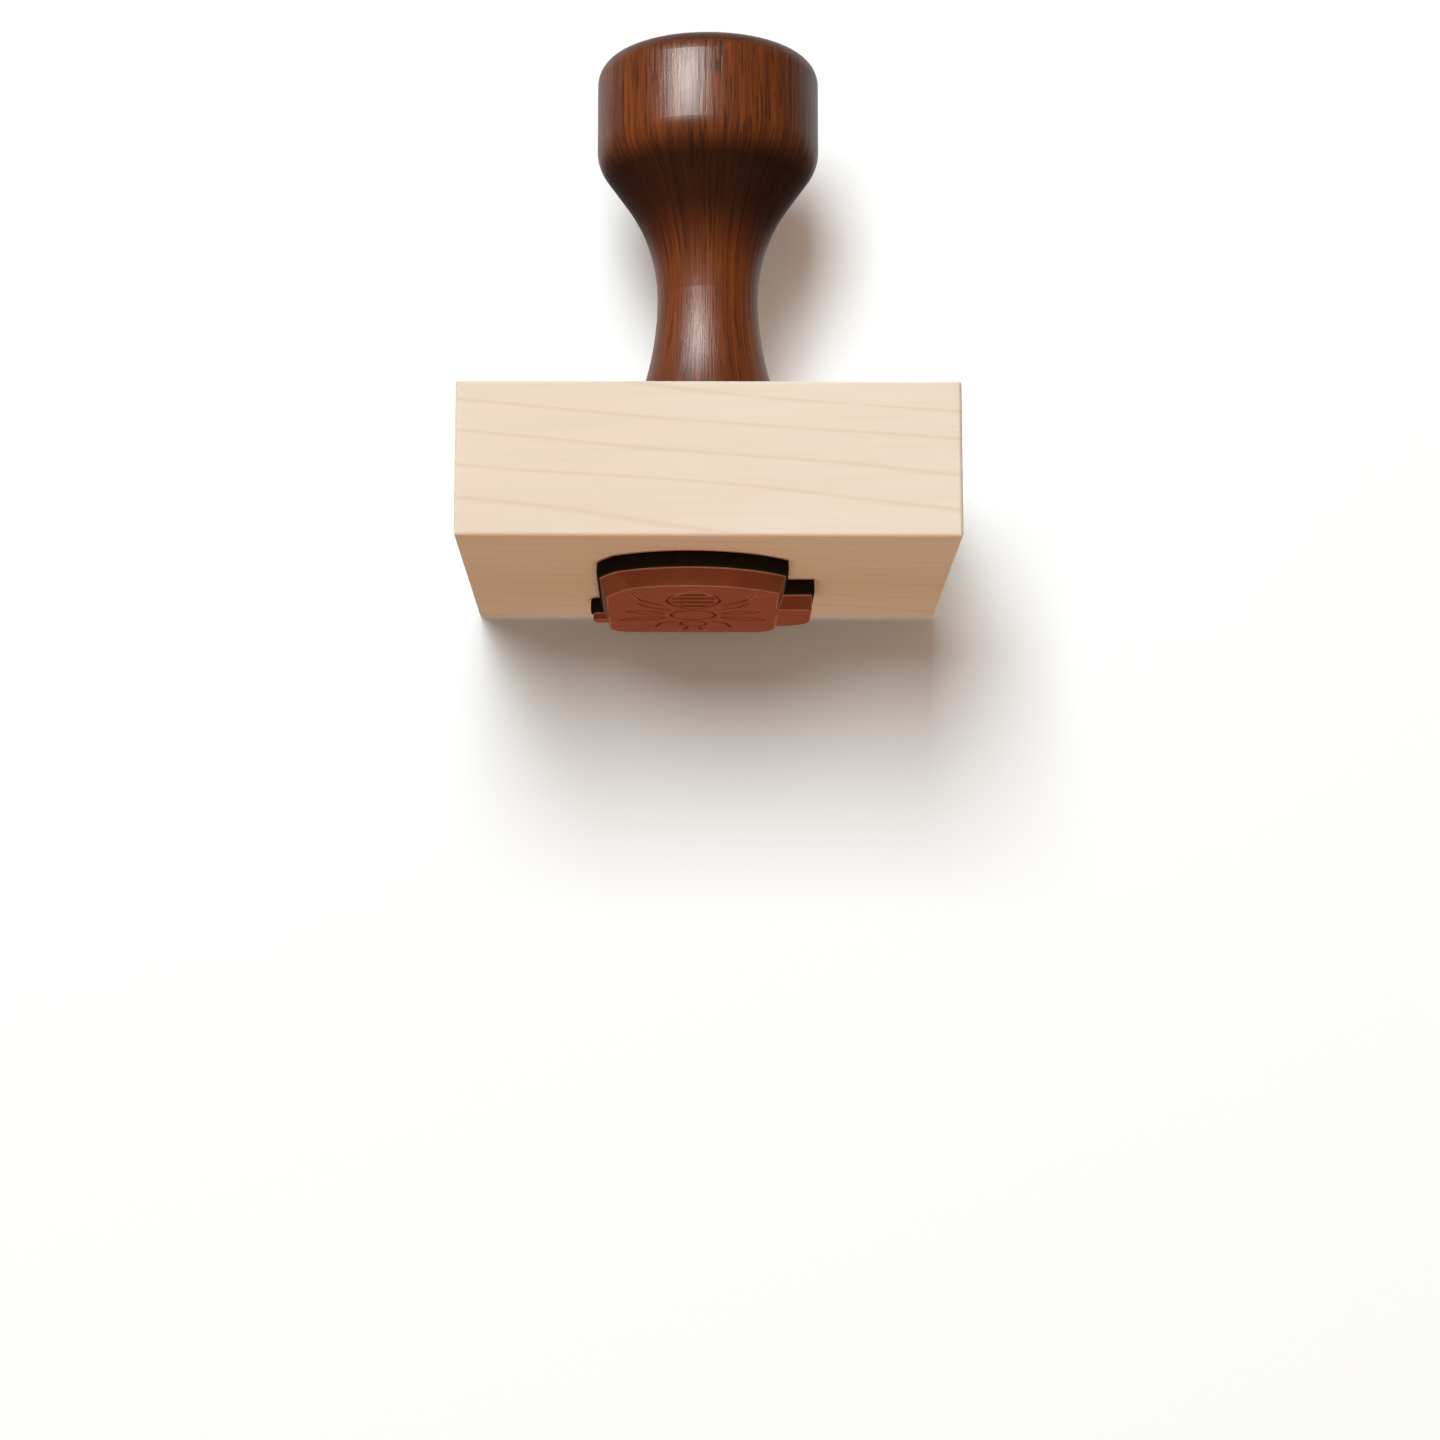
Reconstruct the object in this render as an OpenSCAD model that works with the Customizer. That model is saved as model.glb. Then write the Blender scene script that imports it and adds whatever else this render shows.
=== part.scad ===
// Wood-mounted rubber stamp: turned handle, maple block, foam cushion and an engraved rubber die.
// Millimetres, +Z up along the handle. The origin is the centre of the footprint, on the printing plane.
// The front of the block faces -Y, and the head of the engraved bee points to +Y.

/* [Block] */
// Width of the mount block, left to right
block_w = 63.5; // [56:0.5:80]
// Depth of the mount block, front to back
block_d = 50.8; // [46:0.2:70]
// Thickness of the mount block
block_h = 20; // [16:0.5:22]
// Radius of the eased edges of the block
block_ease = 0.5; // [0.3:0.1:1.5]

/* [Handle] */
// Height of the handle, from the block to the top of its crown
handle_h = 52.9; // [52:0.1:58]
// Radius of the cylindrical band of the knob
knob_r = 14.9; // [14.5:0.1:16]
// Height where the shoulder runs into the band
band_z = 38.84; // [37:0.02:40]
// Radius of the shoulder, between the cone and the band
shoulder_r = 5.6; // [4:0.1:6]
// Angle of the cone under the shoulder, from the vertical
cone_angle = 35.4; // [33:0.1:38]
// Length of the straight side of that cone
cone_len = 4.87; // [4:0.01:6]
// Radius of the neck at its slimmest
neck_r = 6.76; // [6:0.02:7.5]
// Radius of the hollow curve below the neck
neck_lower_r = 42.2; // [36:0.1:60]
// Radius of the corner between the band and the crown
crown_corner_r = 3; // [1.5:0.1:4]
// Radius of the gently domed crown
crown_r = 45; // [35:1:80]

/* [Screw] */
// Length of the countersunk wood screw
screw_len = 35; // [30:1:38]
// Diameter of the plain shank and of the thread crests
screw_d = 4.2; // [3.8:0.1:4.6]
// Diameter of the screw's core between the threads
screw_core_d = 3; // [2.6:0.1:3.2]
// Diameter of the countersunk head
screw_head_d = 8.2; // [7.6:0.1:9]
// Distance from one thread to the next
thread_pitch = 1.6; // [1.4:0.1:2]

/* [Cushion] */
// Thickness of the foam
foam_t = 2; // [1.6:0.1:3]
// Thickness of each adhesive film
film_t = 0.1; // [0.05:0.05:0.2]

/* [Die] */
// Thickness of the rubber, from its back to the printing face
rubber_t = 2.4; // [2.2:0.1:3]
// How far the rubber's back stands inside the foam's outline
rubber_inset = 0.4; // [0.2:0.05:0.6]
// How far the printing face stands inside the rubber's back, at the sides
face_taper = 0.95; // [0.3:0.05:1.2]
// How far it stands inside the rubber's back, at the round front
front_taper = 0.15; // [0.1:0.05:0.6]
// Thickness of the rubber of the right tab, which doesn't print
right_tab_t = 2; // [1:0.1:2.2]
// Thickness of the rubber of the left tab, which is trimmed down to its backing
left_tab_t = 0.9; // [0.6:0.1:1.2]
// Width of the engraved lines
line_w = 0.35; // [0.3:0.05:0.6]
// Depth of the engraved lines
line_depth = 0.35; // [0.2:0.05:1]

/* [Hidden] */
$fn = 96;

// Levels of the stack, from the printing face up
die_film_z = rubber_t;
foam_z = die_film_z + film_t;
block_film_z = foam_z + foam_t;
block_z = block_film_z + film_t;
handle_z = block_z + block_h;

// Clearance between the screw and the wood it passes through
screw_gap = 0.1;
// How far the screw head stands inside the underside of the block
head_recess = 0.3;
// Straight rim of the screw head, before its cone starts
head_rim = 0.3;
// Slot across the screw head
slot_w = 1.1;
slot_depth = 1.2;
// Length of the pointed end of the screw
tip_len = 4;
// Plain length of the screw inside the handle, before the first thread
plain_len = 1;
screw_z = block_z + head_recess;
head_cone = (screw_head_d - screw_d) / 2;
thread_z = handle_z + plain_len;
thread_end_z = screw_z + screw_len - tip_len;
thread_count = floor((thread_end_z - thread_z) / thread_pitch);

// Outline of the foam: a lobe with a round front, and a tab at each side
lobe_left = -14.4;
lobe_right = 10.4;
lobe_back = 14.2;
lobe_corner = 3.8;
front_r = 16.85;
front_pos = [-2.3, -0.9];
// Wider curve that cuts the left front corner of the lobe
corner_r = 17.85;
corner_pos = [2.3, -4.1];
// Each tab: its free end in X, then its lowest and highest Y
right_tab = [14.15, -0.5, 11];
right_tab_corner = 3.8;
left_tab = [-15.85, 11.4, 14.2];
left_tab_corner = 1.3;
// How far a tab reaches into the lobe
tab_root = 2;
// Larger than anything that it cuts
big = 100;

// Engraved bee, in the frame of its own body: head, thorax and abdomen along Y
bee_x = -1.9;
head_y = 6.9;
head_r = 1.9;
thorax_y = 1.3;
thorax_r = 3.1;
abdomen_y = -2.3;
abdomen_len = 11.8;
abdomen_half_w = 3.6;
stripe_count = 4;
stripe_gap = 0.4;
// Wings and legs of one side: root, angle from +X, length, and half width or bend of the knee
wings = [[[3.5, 2.7], 18, 6.8, 1.35], [[3.6, 0.3], -14, 5.6, 1.05]];
legs = [[[2.5, 5.3], 40, 5, 35], [[3, -2.1], -28, 6, -30], [[4, -5], -48, 8, -25]];
antenna_r = 4.4;
antenna_sweep = 38;

// Box with all of its edges rounded to the radius r, centred in X and Y, standing on z = 0
module eased_box(w, d, h, r) {
    intersection() {
        linear_extrude(h) rounded_rect(-w / 2, w / 2, -d / 2, d / 2, r);
        rotate([90, 0, 0]) linear_extrude(d, center = true) rounded_rect(-w / 2, w / 2, 0, h, r);
        rotate([90, 0, 90]) linear_extrude(w, center = true) rounded_rect(-d / 2, d / 2, 0, h, r);
    }
}

// Rectangle from (x0, y0) to (x1, y1) with corners of the radius r
module rounded_rect(x0, x1, y0, y1, r) {
    translate([x0 + r, y0]) square([x1 - x0 - 2 * r, y1 - y0]);
    translate([x0, y0 + r]) square([x1 - x0, y1 - y0 - 2 * r]);
    for (x = [x0 + r, x1 - r], y = [y0 + r, y1 - r]) translate([x, y]) circle(r);
}

// Half outline of the wood of the handle, with its foot on y = 0
module handle_outline() {
    shoulder_x = knob_r - shoulder_r;
    cone_top = [shoulder_x, band_z] + shoulder_r * [cos(cone_angle), -sin(cone_angle)];
    cone_foot = cone_top - cone_len * [sin(cone_angle), cos(cone_angle)];
    neck_upper_r = (cone_foot[0] - neck_r) / (1 - cos(cone_angle));
    neck_z = cone_foot[1] - neck_upper_r * sin(cone_angle);
    corner_x = knob_r - crown_corner_r;
    crown_angle = acos(corner_x / (crown_r - crown_corner_r));
    corner_z = handle_h - crown_r + (crown_r - crown_corner_r) * sin(crown_angle);

    // Wood below the band, hollowed from the foot to the neck and from the neck to the cone
    difference() {
        polygon([
            [0, 0],
            [knob_r, 0],
            [knob_r, neck_z],
            cone_foot,
            cone_top,
            [shoulder_x, band_z],
            [0, band_z]
        ]);
        intersection() {
            translate([neck_r + neck_lower_r, neck_z]) circle(neck_lower_r, $fn = 360);
            translate([0, -big]) square([big, big + neck_z]);
        }
        intersection() {
            translate([neck_r + neck_upper_r, neck_z]) circle(neck_upper_r, $fn = 360);
            translate([0, neck_z]) square([big, big]);
        }
    }
    // Shoulder and band
    translate([shoulder_x, band_z]) circle(shoulder_r);
    translate([0, band_z - shoulder_r / 2]) square([shoulder_x, corner_z - band_z + shoulder_r / 2]);
    translate([0, band_z]) square([knob_r, corner_z - band_z]);
    // Corner and crown
    translate([corner_x, corner_z]) circle(crown_corner_r);
    intersection() {
        translate([0, handle_h - crown_r]) circle(crown_r, $fn = 360);
        translate([0, corner_z]) square([crown_r * cos(crown_angle), crown_r]);
    }
}

// Half outline of the screw, head down, at its real height in the stamp
module screw_outline() {
    shank_r = screw_d / 2;
    core_r = screw_core_d / 2;
    polygon(concat(
        [
            [0, screw_z],
            [screw_head_d / 2, screw_z],
            [screw_head_d / 2, screw_z + head_rim],
            [shank_r, screw_z + head_rim + head_cone]
        ],
        [[shank_r, thread_z]],
        [
            for (i = [0 : thread_count - 1], step = [0, 1])
            let (z = thread_z + (i + step / 2) * thread_pitch)
            [step == 0 ? core_r : shank_r, z + thread_pitch / 4]
        ],
        [[core_r, thread_end_z], [0, thread_end_z + tip_len]]
    ));
}

// Turned handle, with the hole that the screw has cut in its foot
module handle() {
    color("#6b3418")
    difference() {
        translate([0, 0, handle_z]) rotate_extrude() handle_outline();
        rotate_extrude() screw_outline();
    }
}

// Mount block, with a countersunk clearance hole for the screw
module block() {
    color("#efdcc2")
    difference() {
        translate([0, 0, block_z]) eased_box(block_w, block_d, block_h, block_ease);
        translate([0, 0, block_z - 1]) cylinder(h = block_h + 2, d = screw_d + 2 * screw_gap);
        translate([0, 0, block_z - 1])
            cylinder(h = head_recess + head_rim + 1, d = screw_head_d + 2 * screw_gap);
        translate([0, 0, screw_z + head_rim])
            cylinder(h = head_cone, d1 = screw_head_d + 2 * screw_gap, d2 = screw_d + 2 * screw_gap);
    }
}

// Countersunk wood screw that pulls the handle down on the block
module handle_screw() {
    color("#c9a24a")
    difference() {
        rotate_extrude() screw_outline();
        translate([-screw_head_d, -slot_w / 2, screw_z - 1])
            cube([2 * screw_head_d, slot_w, slot_depth + 1]);
    }
}

// Lobe of the cushion, inset from the foam's own outline
module lobe_outline(inset) {
    intersection() {
        rounded_rect(lobe_left + inset, lobe_right - inset, -big / 2, lobe_back - inset, lobe_corner);
        union() {
            translate(front_pos) circle(front_r - inset, $fn = 240);
            translate([-big / 2, front_pos[1]]) square([big, big]);
        }
        union() {
            translate(corner_pos) circle(corner_r - inset, $fn = 240);
            translate([-big / 2, corner_pos[1]]) square([big, big]);
        }
    }
}

// Tab at the right of the lobe, with its far corner rounded
module right_tab_outline(inset) {
    x1 = right_tab[0] - inset;
    y0 = right_tab[1] + inset;
    y1 = right_tab[2] - inset;
    translate([lobe_right - tab_root, y0]) square([x1 - lobe_right + tab_root, y1 - y0 - right_tab_corner]);
    translate([lobe_right - tab_root, y0]) square([x1 - lobe_right + tab_root - right_tab_corner, y1 - y0]);
    translate([x1 - right_tab_corner, y1 - right_tab_corner]) circle(right_tab_corner);
}

// Tab at the left of the lobe, with both free corners rounded
module left_tab_outline(inset) {
    rounded_rect(
        left_tab[0] + inset, lobe_left + 2 * tab_root,
        left_tab[1] + inset, left_tab[2] - inset, left_tab_corner - inset
    );
}

module cushion_outline(inset) {
    lobe_outline(inset);
    right_tab_outline(inset);
    left_tab_outline(inset);
}

// Film that holds the cushion to the block
module block_adhesive() {
    color("#d8d2c4")
    translate([0, 0, block_film_z]) linear_extrude(film_t) cushion_outline(0);
}

// Dark foam that lets the die settle on the paper
module foam_cushion() {
    color("#1d1210")
    translate([0, 0, foam_z]) linear_extrude(foam_t) cushion_outline(0);
}

// Film that holds the rubber to the cushion
module die_adhesive() {
    color("#d8d2c4")
    translate([0, 0, die_film_z]) linear_extrude(film_t) cushion_outline(rubber_inset);
}

// Rounded slab of the thickness rubber_t whose walls lean in by face_taper towards the printing face
module drafted_rect(x0, x1, y0, y1, r) {
    translate([0, y1 - r, 0]) rotate([90, 0, 0]) linear_extrude(y1 - y0 - 2 * r)
        polygon([[x0 + face_taper, 0], [x1 - face_taper, 0], [x1, rubber_t], [x0, rubber_t]]);
    translate([x0 + r, 0, 0]) rotate([90, 0, 90]) linear_extrude(x1 - x0 - 2 * r)
        polygon([[y0 + face_taper, 0], [y1 - face_taper, 0], [y1, rubber_t], [y0, rubber_t]]);
    for (x = [x0 + r, x1 - r], y = [y0 + r, y1 - r])
        translate([x, y, 0]) cylinder(h = rubber_t, r1 = r - face_taper, r2 = r);
}

// Rubber of the lobe, with its round front
module rubber_lobe() {
    back_r = front_r - rubber_inset;
    corner_back_r = corner_r - rubber_inset;
    intersection() {
        drafted_rect(
            lobe_left + rubber_inset, lobe_right - rubber_inset,
            -2 * front_r, lobe_back - rubber_inset, lobe_corner
        );
        union() {
            translate(front_pos) cylinder(h = rubber_t, r1 = back_r - front_taper, r2 = back_r, $fn = 240);
            translate([-big / 2, front_pos[1], 0]) cube([big, big, rubber_t]);
        }
        union() {
            translate(corner_pos)
                cylinder(h = rubber_t, r1 = corner_back_r - face_taper, r2 = corner_back_r, $fn = 240);
            translate([-big / 2, corner_pos[1], 0]) cube([big, big, rubber_t]);
        }
    }
}

// Rubber before it is engraved
module rubber_blank() {
    rubber_lobe();
    translate([0, 0, rubber_t - right_tab_t]) linear_extrude(right_tab_t) right_tab_outline(rubber_inset);
    translate([0, 0, rubber_t - left_tab_t]) linear_extrude(left_tab_t) left_tab_outline(rubber_inset);
}

// Pointed oval of the length len from the origin along +X, less an inset all round
module lens(len, half_w, inset = 0) {
    r = (len * len / 4 + half_w * half_w) / (2 * half_w);
    intersection() {
        translate([len / 2, half_w - r]) circle(r - inset, $fn = 180);
        translate([len / 2, r - half_w]) circle(r - inset, $fn = 180);
    }
}

// Line around a pointed oval
module lens_line(len, half_w) {
    difference() {
        lens(len, half_w);
        lens(len, half_w, line_w);
    }
}

// Line around a circle
module ring_line(r) {
    difference() {
        circle(r);
        circle(r - line_w);
    }
}

// Straight line with round ends, from the origin along +X
module bar(len) {
    translate([0, -line_w / 2]) square([len, line_w]);
    circle(line_w / 2, $fn = 32);
    translate([len, 0]) circle(line_w / 2, $fn = 32);
}

// Leg of two equal lengths with a knee between them
module leg(len, bend) {
    bar(len / 2);
    translate([len / 2, 0]) rotate(bend) bar(len / 2);
}

// Abdomen: a pointed oval with stripes that stay clear of its outline
module abdomen() {
    pitch = abdomen_len / (stripe_count + 1);
    lens_line(abdomen_len, abdomen_half_w);
    intersection() {
        lens(abdomen_len, abdomen_half_w, line_w + stripe_gap);
        for (i = [1 : stripe_count])
            translate([i * pitch, 0]) square([pitch / 2, 2 * abdomen_half_w], center = true);
    }
}

// Antenna: an arc that leaves the head and curves outwards
module antenna() {
    translate([antenna_r + head_r / 3, head_y + head_r]) intersection() {
        ring_line(antenna_r);
        polygon([
            [0, line_w],
            [-2 * antenna_r, line_w],
            2 * antenna_r * [-cos(antenna_sweep), sin(antenna_sweep)]
        ]);
    }
}

// One side of the bee
module bee_side() {
    for (w = wings) translate(w[0]) rotate(w[1]) lens_line(w[2], w[3]);
    // Vein of the larger wing
    translate(wings[0][0]) rotate(wings[0][1]) translate([wings[0][2] / 4, 0]) bar(wings[0][2] / 2);
    for (l = legs) translate(l[0]) rotate(l[1]) leg(l[2], l[3]);
    antenna();
}

// Plain bee in lines, with its head towards +Y
module bee_lines() {
    translate([bee_x, 0]) {
        translate([0, head_y]) ring_line(head_r);
        translate([0, thorax_y]) ring_line(thorax_r);
        translate([0, abdomen_y]) rotate(-90) abdomen();
        bee_side();
        mirror([1, 0]) bee_side();
    }
}

// Moulded rubber die, engraved so that a bee prints in light lines
module rubber_die() {
    color("#99442a")
    difference() {
        rubber_blank();
        translate([0, 0, -1]) linear_extrude(1 + line_depth) bee_lines();
    }
}

handle();
block();
handle_screw();
block_adhesive();
foam_cushion();
die_adhesive();
rubber_die();
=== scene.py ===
import math

import bpy
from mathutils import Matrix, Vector, noise


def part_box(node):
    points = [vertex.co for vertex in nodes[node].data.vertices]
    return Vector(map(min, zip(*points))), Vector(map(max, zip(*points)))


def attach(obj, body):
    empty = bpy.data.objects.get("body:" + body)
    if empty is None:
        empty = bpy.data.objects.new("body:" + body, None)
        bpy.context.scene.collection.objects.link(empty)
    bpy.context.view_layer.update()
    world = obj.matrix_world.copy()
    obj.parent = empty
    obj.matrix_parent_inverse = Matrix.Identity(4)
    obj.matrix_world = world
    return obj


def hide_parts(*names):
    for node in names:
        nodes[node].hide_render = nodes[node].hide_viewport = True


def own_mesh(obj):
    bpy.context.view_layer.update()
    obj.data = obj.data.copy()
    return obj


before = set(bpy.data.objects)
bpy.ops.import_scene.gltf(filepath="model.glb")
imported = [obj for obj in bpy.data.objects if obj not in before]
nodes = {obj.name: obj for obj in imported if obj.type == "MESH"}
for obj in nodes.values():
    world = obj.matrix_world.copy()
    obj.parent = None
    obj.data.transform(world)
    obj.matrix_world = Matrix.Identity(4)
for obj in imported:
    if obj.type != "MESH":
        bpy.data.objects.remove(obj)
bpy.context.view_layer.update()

MM = 0.001
PER_MM = 1000

# Camera: its place against the stamp's axis and the block's underside, and its turn in degrees
CAMERA_SENSOR = 36
CAMERA_LENS = 80.17
CAMERA_SIDE = -2.1 * MM
CAMERA_FRONT = 414.7 * MM
CAMERA_BELOW_BLOCK = 89.4 * MM
CAMERA_PITCH = 9.65
CAMERA_YAW = -0.515

# Studio, in metres
LIGHT_DISTANCE = 2.0
PAPER_REACH = 1.4
PAPER_GAP = 0.2 * MM

block_low, block_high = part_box("block")
_, handle_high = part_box("handle")
foam_low, foam_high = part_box("foam_cushion")


# Shader nodes


def feed(tree, socket, value):
    """Gives an input a number, a colour or another node's output."""
    if isinstance(value, bpy.types.NodeSocket):
        tree.links.new(value, socket)
    else:
        socket.default_value = value


def add_node(tree, kind, inputs=None, **settings):
    """Shader node with its settings, and with inputs given by their name or place."""
    node = tree.nodes.new("ShaderNode" + kind)
    for key, value in settings.items():
        setattr(node, key, value)
    for key, value in (inputs or {}).items():
        feed(tree, node.inputs[key], value)
    return node


def add_math(tree, operation, a, b=0.0, c=0.0):
    return add_node(tree, "Math", {0: a, 1: b, 2: c}, operation=operation).outputs[0]


def add_step(tree, value, low, high):
    """Rises smoothly from 0 where the value is low to 1 where it is high."""
    inputs = {"Value": value, "From Min": low, "From Max": high}
    return add_node(tree, "MapRange", inputs, interpolation_type="SMOOTHSTEP").outputs[0]


# Camera and studio


def add_camera():
    """Stands in front of the stamp and below it, so that the die shows under the block."""
    data = bpy.data.cameras.new("camera")
    data.sensor_width = CAMERA_SENSOR
    data.lens = CAMERA_LENS
    camera = bpy.data.objects.new("camera", data)
    camera.location = (CAMERA_SIDE, -CAMERA_FRONT, block_low.z - CAMERA_BELOW_BLOCK)
    camera.rotation_euler = (math.radians(90 + CAMERA_PITCH), 0, math.radians(CAMERA_YAW))
    bpy.context.scene.collection.objects.link(camera)
    bpy.context.scene.camera = camera


def add_area_light(
    name, azimuth, elevation, size, power, colour, receivers, glossy=True, bounces=12
):
    """Rectangular light that reaches its receivers only.

    Seen from the stamp it stands at an azimuth and an elevation, in degrees. The azimuth is 0 in
    front and positive to the right.
    """
    data = bpy.data.lights.new(name, "AREA")
    data.shape = "RECTANGLE"
    data.size, data.size_y = size
    data.energy = power
    data.color = colour
    data.cycles.max_bounces = bounces
    light = bpy.data.objects.new(name, data)
    a, e = math.radians(azimuth), math.radians(elevation)
    away = Vector((math.sin(a) * math.cos(e), -math.cos(a) * math.cos(e), math.sin(e)))
    light.location = Vector((0, 0, block_high.z)) + LIGHT_DISTANCE * away
    light.rotation_euler = away.to_track_quat("Z", "Y").to_euler()
    bpy.context.scene.collection.objects.link(light)
    reached = bpy.data.collections.new(name + "_receivers")
    for receiver in receivers:
        reached.objects.link(receiver)
    light.light_linking.receiver_collection = reached
    light.visible_glossy = glossy
    return light


def fade_towards_edges(light):
    """Fades a light to nothing at its left and right edges and to a dim line at its foot."""
    foot, top = 0.15, 1.85
    middle = 1.5
    light.data.use_nodes = True
    tree = light.data.node_tree
    place = add_node(tree, "NewGeometry").outputs["Parametric"]
    across, up, _ = add_node(tree, "SeparateXYZ", {0: place}).outputs
    arch = add_math(tree, "MULTIPLY", across, add_math(tree, "SUBTRACT", 1.0, across))
    rise = add_math(tree, "MULTIPLY_ADD", up, top - foot, foot)
    strength = add_math(tree, "MULTIPLY", add_math(tree, "MULTIPLY", arch, 4 * middle), rise)
    feed(tree, tree.nodes["Emission"].inputs["Strength"], strength)


def add_world():
    """Dim room, brighter high up at its back. The camera sees plain white in its place."""
    dim, brighter = 0.07, 0.5
    room_colour = (1, 0.98, 0.96, 1)
    white = (0.975, 0.975, 0.975, 1)
    world = bpy.data.worlds.new("studio")
    world.use_nodes = True
    tree = world.node_tree
    generated = add_node(tree, "TexCoord").outputs["Generated"]
    _, towards_back, upwards = add_node(tree, "SeparateXYZ", {0: generated}).outputs
    behind = add_step(tree, towards_back, 0.1, 0.75)
    above = add_step(tree, upwards, -0.02, 0.2)
    bright = add_math(tree, "MULTIPLY", behind, above)
    strength = add_math(tree, "MULTIPLY_ADD", bright, brighter, dim)
    fill = add_node(tree, "Background", {"Color": room_colour, "Strength": strength})
    seen = add_node(tree, "Background", {"Color": white, "Strength": 1})
    by_camera = add_node(tree, "LightPath").outputs["Is Camera Ray"]
    mix = add_node(
        tree, "MixShader", {"Fac": by_camera, 1: fill.outputs[0], 2: seen.outputs[0]}
    )
    feed(tree, tree.nodes["World Output"].inputs["Surface"], mix.outputs[0])
    bpy.context.scene.world = world
    bpy.context.scene.view_settings.view_transform = "Standard"


def one_sided_paper(name, colour):
    """Plain pale surface that shows from its front only, so that it hides nothing behind it."""
    material = bpy.data.materials.new(name)
    material.use_nodes = True
    tree = material.node_tree
    paper = tree.nodes["Principled BSDF"]
    paper.inputs["Base Color"].default_value = (*colour, 1)
    paper.inputs["Roughness"].default_value = 0.9
    paper.inputs["Specular IOR Level"].default_value = 0
    clear = add_node(tree, "BsdfTransparent")
    side = add_node(tree, "NewGeometry").outputs["Backfacing"]
    mix = add_node(tree, "MixShader", {"Fac": side, 1: paper.outputs[0], 2: clear.outputs[0]})
    feed(tree, tree.nodes["Material Output"].inputs["Surface"], mix.outputs[0])
    return material


def add_paper(name, corner, side_a, side_b, material):
    """Flat sheet from a corner along two sides. Only the camera sees it, with its shadows."""
    mesh = bpy.data.meshes.new(name)
    corner, side_a, side_b = Vector(corner), Vector(side_a), Vector(side_b)
    points = [corner, corner + side_a, corner + side_a + side_b, corner + side_b]
    mesh.from_pydata(points, [], [(0, 1, 2, 3)])
    mesh.materials.append(material)
    sheet = bpy.data.objects.new(name, mesh)
    bpy.context.scene.collection.objects.link(sheet)
    sheet.visible_diffuse = False
    sheet.visible_glossy = False
    sheet.visible_transmission = False
    sheet.visible_shadow = False
    return sheet


def add_studio(pad):
    """The stamp has its back against one sheet of paper and stands on another.

    The sheets and the stamp are lit by different lights, and the one below doesn't bounce.
    """
    reach = PAPER_REACH
    backdrop = add_paper(
        "backdrop",
        (-reach, block_high.y + PAPER_GAP, -reach),
        (2 * reach, 0, 0),
        (0, 0, 2 * reach),
        one_sided_paper("backdrop_paper", (0.93, 0.925, 0.92)),
    )
    floor = add_paper(
        "floor",
        (-reach, -reach, 0),
        (2 * reach, 0, 0),
        (0, 2 * reach, 0),
        one_sided_paper("floor_paper", (0.96, 0.91, 0.87)),
    )
    stamp = [pad, *nodes.values()]
    below = [piece for piece in stamp if piece != nodes["handle"]]
    softbox = add_area_light(
        "softbox",
        azimuth=-24,
        elevation=31,
        size=(1.15, 0.8),
        power=38,
        colour=(1, 0.995, 0.98),
        receivers=stamp,
    )
    fade_towards_edges(softbox)
    add_area_light(
        "back_softbox",
        azimuth=165,
        elevation=58,
        size=(1.8, 1.2),
        power=24,
        colour=(1, 0.99, 0.98),
        receivers=[*stamp, floor],
        glossy=False,
    )
    for side in (-1, 1):
        add_area_light(
            f"side_fill_{side}",
            azimuth=105 * side,
            elevation=12,
            size=(1.6, 1.6),
            power=13,
            colour=(1, 0.97, 0.93),
            receivers=[nodes["block"]],
            glossy=False,
        )
    add_area_light(
        "back_fill",
        azimuth=180,
        elevation=12,
        size=(2.0, 1.6),
        power=12,
        colour=(1, 0.96, 0.91),
        receivers=stamp,
        glossy=False,
    )
    add_area_light(
        "paper_light",
        azimuth=-9.6,
        elevation=21.6,
        size=(0.76, 1.21),
        power=42,
        colour=(0.83, 0.945, 1),
        receivers=[backdrop, floor],
    )
    add_area_light(
        "paper_fill",
        azimuth=0,
        elevation=-5,
        size=(3.0, 3.0),
        power=21,
        colour=(1, 0.69, 0.49),
        receivers=[backdrop],
    )
    add_area_light(
        "bounce",
        azimuth=0,
        elevation=-63,
        size=(1.8, 1.4),
        power=25.5,
        colour=(1, 0.605, 0.365),
        receivers=below,
        bounces=0,
    )
    add_world()


# Materials


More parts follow.
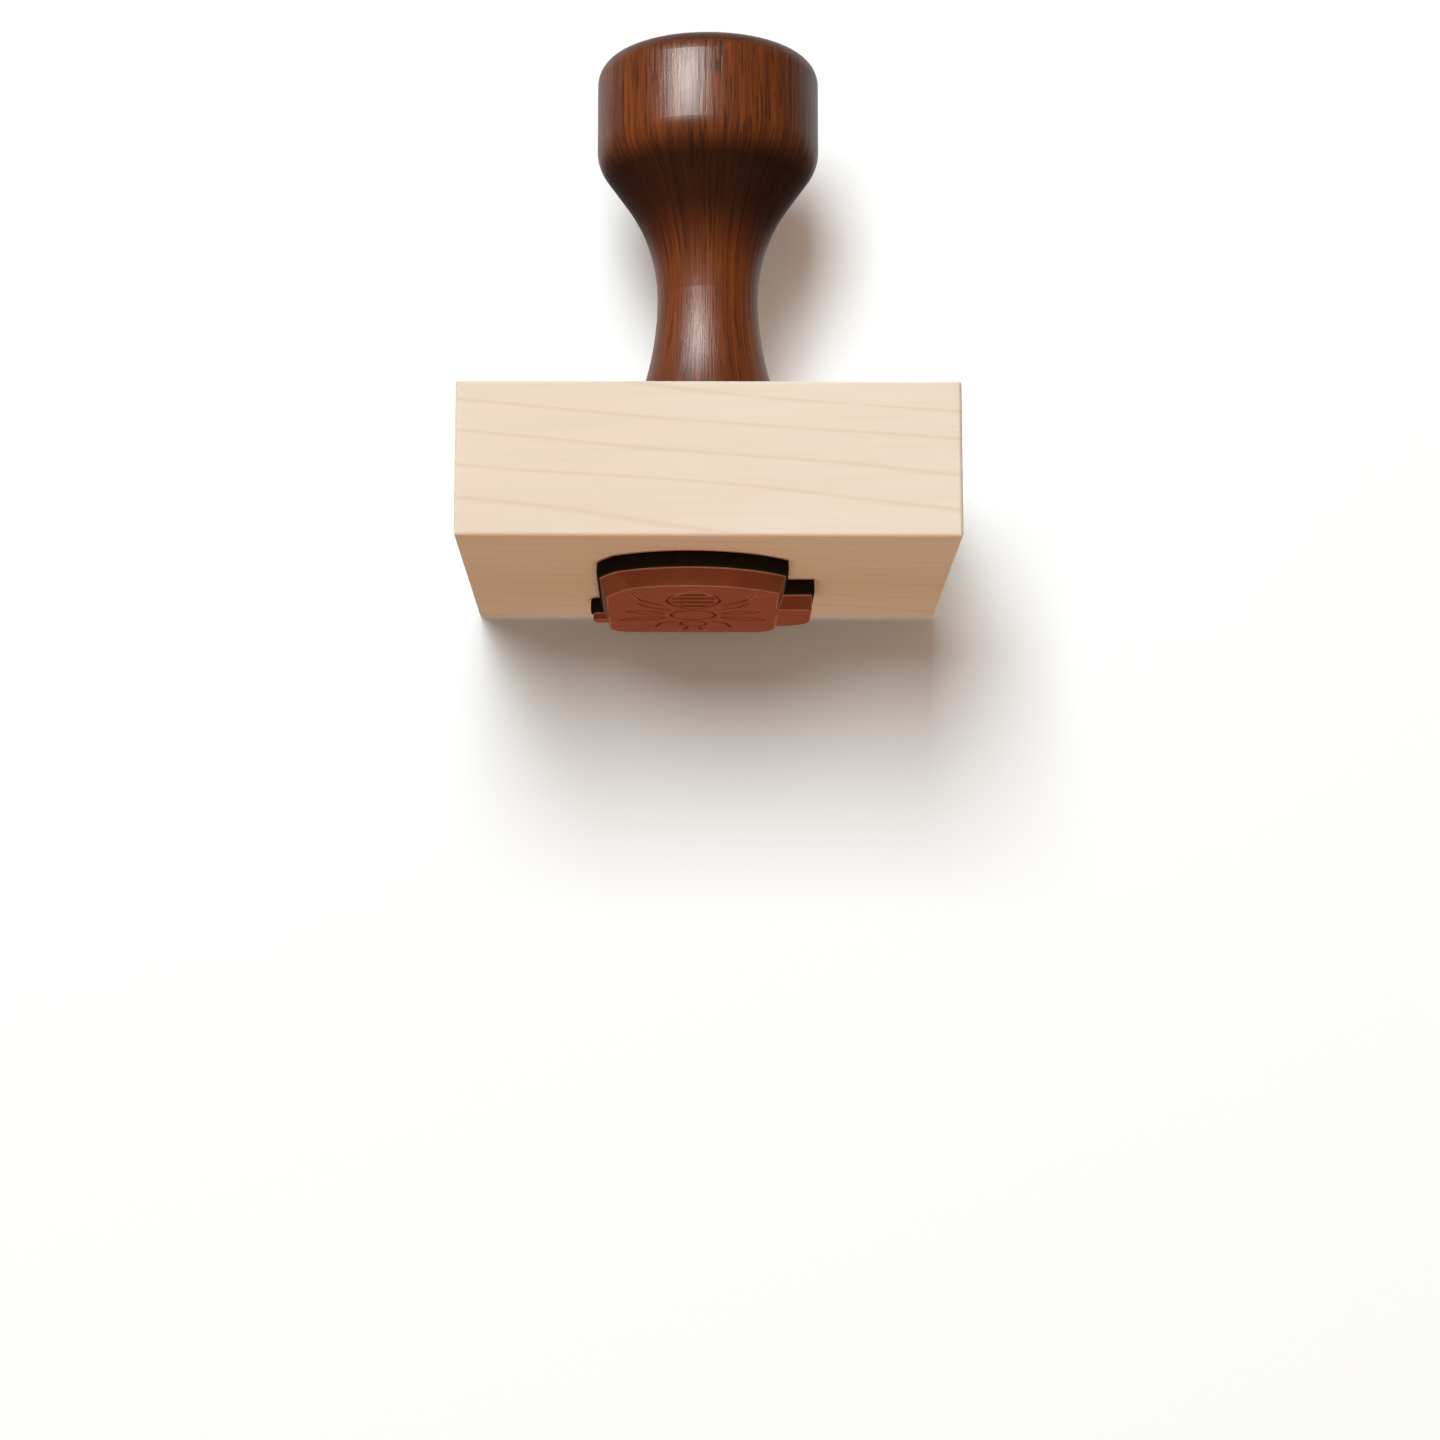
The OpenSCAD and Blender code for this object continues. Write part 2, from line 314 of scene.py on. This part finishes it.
class Look:
    """Material whose nodes are fed with numbers, colours or other nodes' outputs."""

    def __init__(self, name):
        self.material = bpy.data.materials.new(name)
        self.material.use_nodes = True
        self.tree = self.material.node_tree

    def set(self, **inputs):
        """Inputs of the shader, by their names with underscores for spaces."""
        shader = self.tree.nodes["Principled BSDF"]
        for key, value in inputs.items():
            feed(self.tree, shader.inputs[key.replace("_", " ")], value)

    def node(self, kind, inputs=None, **settings):
        return add_node(self.tree, kind, inputs, **settings)

    def math(self, operation, a, b=0.0, c=0.0):
        return add_math(self.tree, operation, a, b, c)

    def step(self, value, low, high):
        return add_step(self.tree, value, low, high)

    def millimetres(self, stretch=(1, 1, 1)):
        """Place in the frame in millimetres, divided by a stretch along each axis."""
        place = self.node("TexCoord").outputs["Object"]
        scale = Vector([PER_MM / s for s in stretch])
        return self.node("Mapping", {"Vector": place, "Scale": scale}).outputs[0]

    def noise(self, vector, scale, detail=2.0, roughness=0.5, distortion=0.0):
        inputs = {
            "Vector": vector,
            "Scale": scale,
            "Detail": detail,
            "Roughness": roughness,
            "Distortion": distortion,
        }
        return self.node("TexNoise", inputs).outputs[0]

    def ramp(self, value, stops):
        """Colour or grey along a value: stops are (position, colour)."""
        node = self.node("ValToRGB", {"Fac": value})
        points = node.color_ramp.elements
        while len(points) < len(stops):
            points.new(0.5)
        for point, (position, colour) in zip(points, stops):
            point.position = position
            point.color = (*colour, 1) if isinstance(colour, tuple) else (*[colour] * 3, 1)
        return node.outputs["Color"]

    def blend(self, factor, a, b):
        """Goes from colour a to colour b as the factor goes from 0 to 1."""
        node = self.node("Mix", data_type="RGBA")
        for place, value in ((0, factor), (6, a), (7, b)):
            feed(self.tree, node.inputs[place], value)
        return node.outputs[2]

    def bump(self, height, distance, strength=1.0, normal=None):
        """Relief whose full height is the distance, in metres."""
        inputs = {"Height": height, "Distance": distance, "Strength": strength}
        if normal is not None:
            inputs["Normal"] = normal
        return self.node("Bump", inputs).outputs[0]


def stained_wood():
    """Open-grained hardwood, stained walnut and lacquered. The grain runs along the handle.

    Radii and depths below the top of the handle are in millimetres.
    """
    grain_radius = 11.0
    least_radius = 4.0
    crown_end, band_start = 1.1, 4.0
    band_foot, shoulder = 15.7, 18.7
    hollow_start, hollow_end = 22.5, 32.5
    swell_foot = 16.5
    swell_rise = 1 / 130
    hollow_painted_shade = 0.8
    lacquer, hollow_lacquer = 0.82, 0.2

    look = Look("stained_wood")
    place = look.millimetres()
    x, y, height = look.node("SeparateXYZ", {0: place}).outputs
    depth = look.math("SUBTRACT", handle_high.z * PER_MM, height)

    # The pattern is drawn for one radius, and spread or narrowed with the outline
    radius = look.math("SQRT", look.math("MULTIPLY_ADD", x, x, look.math("MULTIPLY", y, y)))
    evened = look.math("DIVIDE", grain_radius, look.math("MAXIMUM", radius, least_radius))
    below_crown = look.step(depth, crown_end, band_start)
    spread = look.math("MULTIPLY_ADD", below_crown, look.math("SUBTRACT", evened, 1.0), 1.0)
    along = look.node("CombineXYZ", {0: spread, 1: spread, 2: 1.0}).outputs[0]
    followed = look.node("VectorMath", {0: place, 1: along}, operation="MULTIPLY").outputs[0]

    def grain(stretch, scale, detail, distortion):
        """Noise drawn out along lines that follow the turned outline up to the crown."""
        inputs = {"Vector": followed, "Scale": (1, 1, 1 / stretch)}
        drawn = look.node("Mapping", inputs).outputs[0]
        return look.noise(drawn, scale, detail, 0.6, distortion)

    pores = grain(30, 4.6, 3, 0.35)
    streaks = grain(50, 2.2, 3, 0.5)
    bands = grain(14, 0.14, 2, 0.4)
    stain = look.ramp(
        streaks,
        [(0.3, (0.15, 0.031, 0.0038)), (0.5, (0.25, 0.054, 0.006)), (0.7, (0.37, 0.09, 0.011))],
    )
    stain = look.blend(look.ramp(bands, [(0.35, 0.35), (0.65, 0.0)]), stain, (0.09, 0.02, 0.006, 1))
    flecks = look.ramp(pores, [(0.39, 0.75), (0.48, 0.0)])
    colour = look.blend(flecks, stain, (0.045, 0.011, 0.003, 1))

    # The crown is darker, partly as end grain that takes more stain and partly as painted shade.
    # The hollow under the band is darkened as painted shade, the shade under the knob
    facing = look.node("SeparateXYZ", {0: look.node("NewGeometry").outputs["Normal"]})
    crown = look.ramp(facing.outputs["Z"], [(0.12, 0.0), (0.6, 0.68)])
    hollow = look.math(
        "MULTIPLY",
        look.step(depth, band_foot, shoulder),
        look.step(depth, hollow_end, hollow_start),
    )
    end_grain = look.math("MAXIMUM", crown, look.math("MULTIPLY", hollow, hollow_painted_shade))
    # Painted shade: this dark brown stands for the shade in the hollow and on the crown, as well as
    # the crown's end grain
    colour = look.blend(end_grain, colour, (0.022, 0.005, 0.0012, 1))

    # The band leans a little more towards its top, in shading only
    above_foot = look.math("MAXIMUM", look.math("SUBTRACT", swell_foot, depth), 0.0)
    swell = look.math("MULTIPLY", look.math("POWER", above_foot, 2.0), -swell_rise)
    turned = look.bump(swell, 1 * MM)
    lacquer_waves = look.noise(look.millimetres((1, 1, 3)), 0.35, 2)
    film = look.bump(lacquer_waves, 0.1 * MM, 0.2, turned)
    film = look.bump(pores, 0.06 * MM, 0.7, film)
    look.set(
        Base_Color=colour,
        Roughness=look.ramp(pores, [(0.3, 0.65), (0.6, 0.5)]),
        Specular_IOR_Level=0.15,
        Normal=look.bump(pores, 0.05 * MM, 0.3),
        Coat_Weight=look.math("MULTIPLY_ADD", hollow, hollow_lacquer - lacquer, lacquer),
        Coat_Roughness=0.3,
        Coat_IOR=1.55,
        Coat_Normal=film,
    )
    return look.material


def maple():
    """Smooth pale board. The grain runs along the block's width.

    The growth rings bend round a line behind the block and below it, which dips to the right.
    All lengths are in millimetres.
    """
    heart_y, heart_z = 36.0, -44.0
    dip = 0.084
    ring_width = 3.15
    ring_drift = 5.0
    ring_contrast = 0.23

    look = Look("maple")
    x, y, z = look.node("SeparateXYZ", {0: look.millimetres()}).outputs
    drift = look.noise(look.millimetres((14, 1.4, 1.4)), 0.09, 2, 0.5)
    across = look.math("SUBTRACT", y, heart_y)
    up = look.math("SUBTRACT", look.math("MULTIPLY_ADD", x, dip, z), heart_z)
    squares = look.math("MULTIPLY_ADD", up, up, look.math("MULTIPLY", across, across))
    radius = look.math("MULTIPLY_ADD", drift, ring_drift, look.math("SQRT", squares))
    ring = look.math("FRACT", look.math("DIVIDE", radius, ring_width))
    line = look.ramp(ring, [(0.0, 0.15), (0.05, 0.0), (0.84, 0.0), (0.95, 1.0), (1.0, 0.15)])
    fibre = look.noise(look.millimetres((26, 1, 1)), 1.6, 4, 0.6)
    cloud = look.noise(look.millimetres((5, 1.5, 1.5)), 0.05, 2)
    base = look.ramp(cloud, [(0.35, (0.835, 0.745, 0.62)), (0.65, (0.885, 0.82, 0.71))])
    base = look.blend(look.ramp(fibre, [(0.3, 0.12), (0.6, 0.0)]), base, (0.66, 0.48, 0.33, 1))
    base = look.blend(look.math("MULTIPLY", line, ring_contrast), base, (0.6, 0.42, 0.28, 1))

    # The cut fibres show as dots on the two ends
    facing = look.node("SeparateXYZ", {0: look.node("NewGeometry").outputs["True Normal"]})
    end = look.math("ABSOLUTE", facing.outputs["X"])
    dots = look.noise(look.millimetres(), 2.4, 3, 0.6)
    end_grain = look.math("MULTIPLY", end, look.ramp(dots, [(0.35, 0.4), (0.6, 0.08)]))
    base = look.blend(end_grain, base, (0.5, 0.34, 0.21, 1))
    look.set(
        Base_Color=base,
        Roughness=look.ramp(fibre, [(0.3, 0.56), (0.7, 0.46)]),
        Specular_IOR_Level=0.35,
        Normal=look.bump(fibre, 0.03 * MM, 0.35),
    )
    return look.material


def foam():
    """Dark closed-cell foam with fine open pores where it was cut."""
    look = Look("foam")
    place = look.millimetres()
    cells = look.node("TexVoronoi", {"Vector": place, "Scale": 4.5}).outputs["Distance"]
    patches = look.noise(place, 0.8, 3)
    colour = look.ramp(patches, [(0.3, (0.005, 0.002, 0.001)), (0.7, (0.012, 0.0055, 0.0025))])
    look.set(
        Base_Color=colour,
        Roughness=look.ramp(cells, [(0.0, 0.95), (0.6, 0.7)]),
        Specular_IOR_Level=0.25,
        Normal=look.bump(cells, 0.08 * MM, 0.7),
    )
    return look.material


def adhesive_film():
    """Clear acrylic film, coloured pale as a painted highlight, so that its thin cut edge shows as
    a light line.
    """
    look = Look("adhesive_film")
    haze = look.noise(look.millimetres((3, 3, 1)), 1.1, 3)
    look.set(
        # Painted highlight: the pale red colour stands for the glint along the film's cut edge
        Base_Color=look.ramp(haze, [(0.35, (0.7, 0.36, 0.27)), (0.65, (0.85, 0.47, 0.36))]),
        Roughness=look.ramp(haze, [(0.3, 0.4), (0.7, 0.28)]),
    )
    return look.material


def die_rubber():
    """Red-brown natural rubber with the faint streaks of its mould.

    Its cut edges carry a pale painted highlight, but not in the artwork, which is inside a circle.
    """
    edge_width = 0.3 * MM
    art_centre_x = -2.0
    art_radius = 11.3

    look = Look("die_rubber")
    streaks = look.noise(look.millimetres((16, 1, 3)), 1.3, 3, 0.55)
    patches = look.noise(look.millimetres(), 0.22, 3)
    colour = look.ramp(patches, [(0.3, (0.36, 0.1, 0.046)), (0.7, (0.42, 0.122, 0.058))])
    marks = look.ramp(streaks, [(0.35, 0.25), (0.6, 0.0)])
    colour = look.blend(marks, colour, (0.24, 0.055, 0.022, 1))
    softened = look.node("Bevel", {"Radius": edge_width}, samples=6).outputs[0]
    true = look.node("NewGeometry").outputs["True Normal"]
    compared = look.node("VectorMath", {0: softened, 1: true}, operation="DOT_PRODUCT")
    edge = look.ramp(compared.outputs["Value"], [(0.8, 1.0), (0.985, 0.0)])
    x, y, _ = look.node("SeparateXYZ", {0: look.millimetres()}).outputs
    from_art = look.math("SUBTRACT", x, art_centre_x)
    squares = look.math("MULTIPLY_ADD", from_art, from_art, look.math("MULTIPLY", y, y))
    outside_art = look.math("GREATER_THAN", squares, art_radius**2)
    painted_edge_highlight = look.math("MULTIPLY", edge, outside_art)
    # Painted highlight: the pale colour along the cut edges stands for the glint on them
    colour = look.blend(painted_edge_highlight, colour, (0.98, 0.55, 0.42, 1))
    dust = look.noise(look.millimetres(), 5.0, 2)
    look.set(
        Base_Color=colour,
        Roughness=look.ramp(dust, [(0.3, 0.62), (0.7, 0.5)]),
        Specular_IOR_Level=0.25,
        Sheen_Weight=0.05,
        Sheen_Roughness=0.45,
        Normal=look.bump(dust, 0.02 * MM, 0.4),
    )
    return look.material


def plated_steel():
    """Yellow zinc on steel, with turning marks round the screw."""
    look = Look("plated_steel")
    marks = look.noise(look.millimetres((6, 6, 0.6)), 1.5, 2)
    tint = look.noise(look.millimetres(), 0.6, 3)
    look.set(
        Base_Color=look.ramp(tint, [(0.3, (0.62, 0.5, 0.24)), (0.7, (0.72, 0.66, 0.46))]),
        Metallic=1.0,
        Roughness=look.ramp(marks, [(0.3, 0.42), (0.7, 0.26)]),
        Normal=look.bump(marks, 0.02 * MM, 0.4),
    )
    return look.material


# Pieces


def paint(piece, material):
    """Gives the whole piece one material."""
    piece.data.materials.clear()
    piece.data.materials.append(material)
    for face in piece.data.polygons:
        face.material_index = 0


def round_edges(piece, width):
    """Merges flat triangles, then rounds the sharp edges."""
    flatten = piece.modifiers.new("flatten", "DECIMATE")
    flatten.decimate_type = "DISSOLVE"
    flatten.angle_limit = math.radians(0.5)
    bevel = piece.modifiers.new("round_edges", "BEVEL")
    bevel.width = width
    bevel.segments = 3
    bevel.limit_method = "ANGLE"
    bevel.angle_limit = math.radians(35)
    bevel.harden_normals = True


def foam_piece(material):
    """Cut foam: the walls bulge a little between the two films, and the pores of the cut show."""
    voxel = 0.2 * MM
    bulge = 0.1 * MM
    inset = 0.12 * MM
    pore_depth = 0.05 * MM
    pores_per_mm = 2.2

    piece = bpy.data.objects.new("foam_pad", nodes["foam_cushion"].data.copy())
    bpy.context.scene.collection.objects.link(piece)
    remesh = piece.modifiers.new("remesh", "REMESH")
    remesh.mode = "VOXEL"
    remesh.voxel_size = voxel
    evaluated = piece.evaluated_get(bpy.context.evaluated_depsgraph_get())
    fine = bpy.data.meshes.new_from_object(evaluated)
    piece.modifiers.clear()
    piece.data = fine
    middle = (foam_low.z + foam_high.z) / 2
    half = (foam_high.z - foam_low.z) / 2
    normals = [vertex.normal.copy() for vertex in fine.vertices]
    for vertex, normal in zip(fine.vertices, normals):
        out = Vector((normal.x, normal.y, 0))
        level = (vertex.co.z - middle) / half
        grain = noise.noise(vertex.co * PER_MM * pores_per_mm)
        vertex.co += out * (bulge * (1 - level * level) - inset + pore_depth * grain)
    paint(piece, material)
    for face in fine.polygons:
        face.use_smooth = True
    return piece


def build():
    add_camera()
    paint(nodes["handle"], stained_wood())
    paint(nodes["block"], maple())
    paint(nodes["handle_screw"], plated_steel())
    film = adhesive_film()
    paint(nodes["block_adhesive"], film)
    paint(nodes["die_adhesive"], film)
    paint(nodes["rubber_die"], die_rubber())
    round_edges(nodes["rubber_die"], 0.12 * MM)

    pad = foam_piece(foam())
    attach(pad, "mount")
    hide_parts("foam_cushion")
    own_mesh(pad)
    add_studio(pad)


build()
